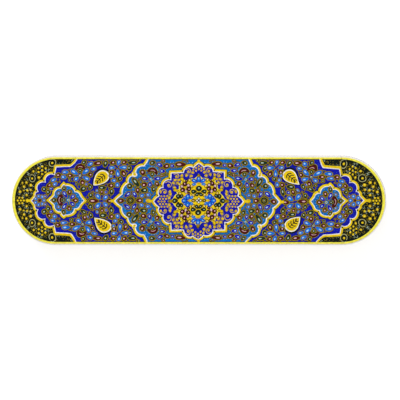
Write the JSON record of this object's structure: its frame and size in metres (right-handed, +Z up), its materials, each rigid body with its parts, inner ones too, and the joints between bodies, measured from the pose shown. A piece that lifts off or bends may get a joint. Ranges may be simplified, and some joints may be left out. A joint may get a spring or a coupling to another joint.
{
  "type": "qalamdan pen box",
  "caption": "Long pen box with half-round ends: a drawer with pen tray and hinged-lid brass inkwell slides out of a sleeve with an illuminated top.",
  "frame": {"origin": "middle of the underside, on the surface that the box stands on", "axes": "+X along the box towards the drawer's head, +Y across the box, +Z up"},
  "size_m": [0.24, 0.057, 0.042],
  "materials": {
    "wood": "oiled, satin",
    "bone": "polished",
    "illumination": "painted and varnished",
    "brass": "polished, handled"
  },
  "bodies": {
    "sleeve": {"sleeve_base_board": "wood", "sleeve_top_board": "wood", "sleeve_front_wall": "wood", "sleeve_back_wall": "wood", "sleeve_end_wall": "wood", "sleeve_top_panel": "illumination", "sleeve_front_facing": "bone", "sleeve_back_facing": "bone", "sleeve_end_facing": "bone"},
    "drawer": {"drawer_floor": "wood", "drawer_front_side": "wood", "drawer_back_side": "wood", "drawer_tail_wall": "wood", "drawer_bulkhead": "wood", "drawer_head_block": "wood", "head_facing": "bone", "head_top_panel": "illumination", "inkwell_bed": "wood", "inkwell_cup": "brass", "inkwell_collar": "brass", "inkwell_hinge_pin": "brass"},
    "ink_lid": {"inkwell_lid": "brass", "inkwell_finial": "brass"}
  },
  "joints": [
    {"name": "drawer_slide", "type": "slide", "parent": "sleeve", "child": "drawer", "axis": [1, 0, 0], "range_m": [0, 0.205]},
    {"name": "ink_lid_hinge", "type": "hinge", "parent": "drawer", "child": "ink_lid", "pos_m": [0.07495, 0, 0.01975], "axis": [0, 1, 0], "range_deg": [0, 100]}
  ]
}
